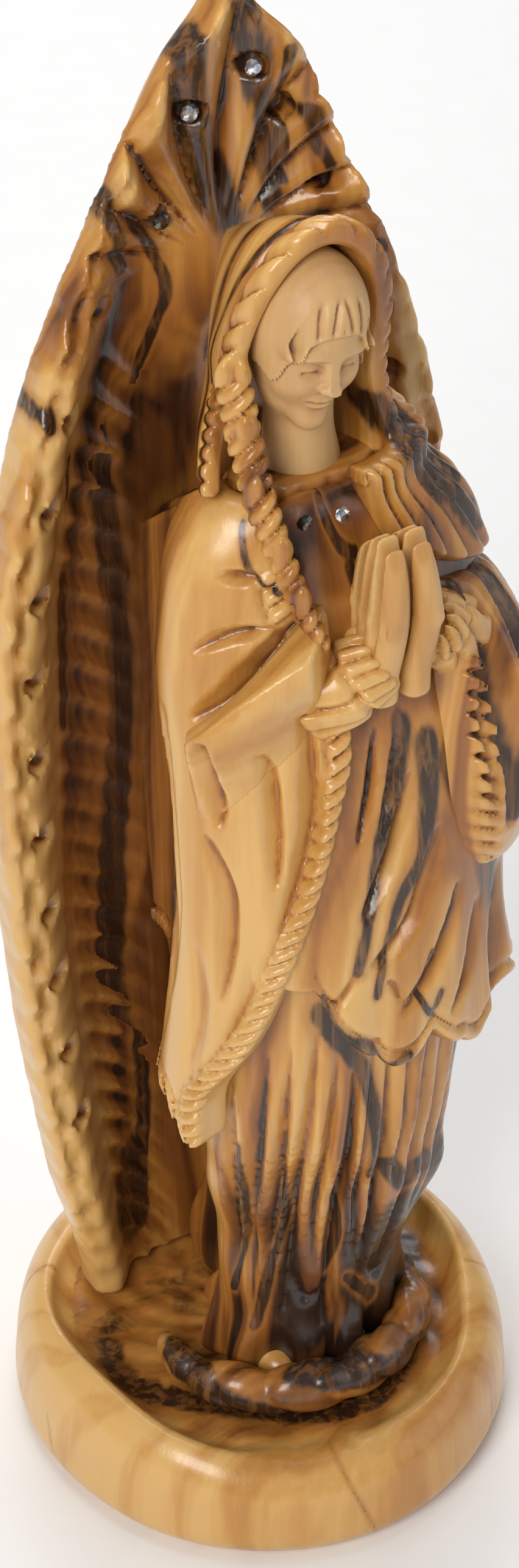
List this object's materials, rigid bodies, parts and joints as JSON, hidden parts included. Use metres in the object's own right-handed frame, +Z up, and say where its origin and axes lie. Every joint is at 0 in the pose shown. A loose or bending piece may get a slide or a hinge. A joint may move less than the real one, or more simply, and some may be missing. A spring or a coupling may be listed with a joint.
{
  "type": "madonna statue",
  "caption": "Carved olive-wood madonna with praying hands in a hollow rayed mandorla set with crystal stones, on a round basin-topped plinth.",
  "frame": {"origin": "centre of the plinth's underside", "axes": "+Z up, the figure faces -Y, +X is at the figure's left hand"},
  "size_m": [0.081, 0.085, 0.25],
  "materials": {
    "olive_light": "glossy varnished olive sapwood",
    "olive_amber": "glossy varnished olive heartwood",
    "olive_dark": "glossy varnished dark-figured olive wood",
    "olive_matte": "matte, lightly sanded olive wood",
    "crystal": "faceted, foil-backed, polished",
    "smoky_crystal": "faceted, dark, polished",
    "beech": "raw turned dowel"
  },
  "bodies": {
    "root": {"plinth": "olive_light", "mandorla": "olive_amber", "tunic": "olive_dark", "mantle_right": "olive_light", "mantle_left": "olive_amber", "sleeve_right": "olive_light", "sleeve_left": "olive_amber", "veil": "olive_amber", "head": "olive_matte", "hand_right": "olive_matte", "hand_left": "olive_matte", "cuff_right": "olive_light", "cuff_left": "olive_light", "crescent": "olive_dark", "foot_right": "olive_light", "foot_left": "olive_light", "stone_top": "crystal", "stone_left_1": "crystal", "stone_left_2": "smoky_crystal", "stone_collar_left": "crystal", "stone_collar_right": "smoky_crystal", "mandorla_dowel_left": "beech", "mandorla_dowel_right": "beech", "figure_dowel_left": "beech", "figure_dowel_right": "beech", "neck_dowel": "beech"}
  },
  "joints": []
}
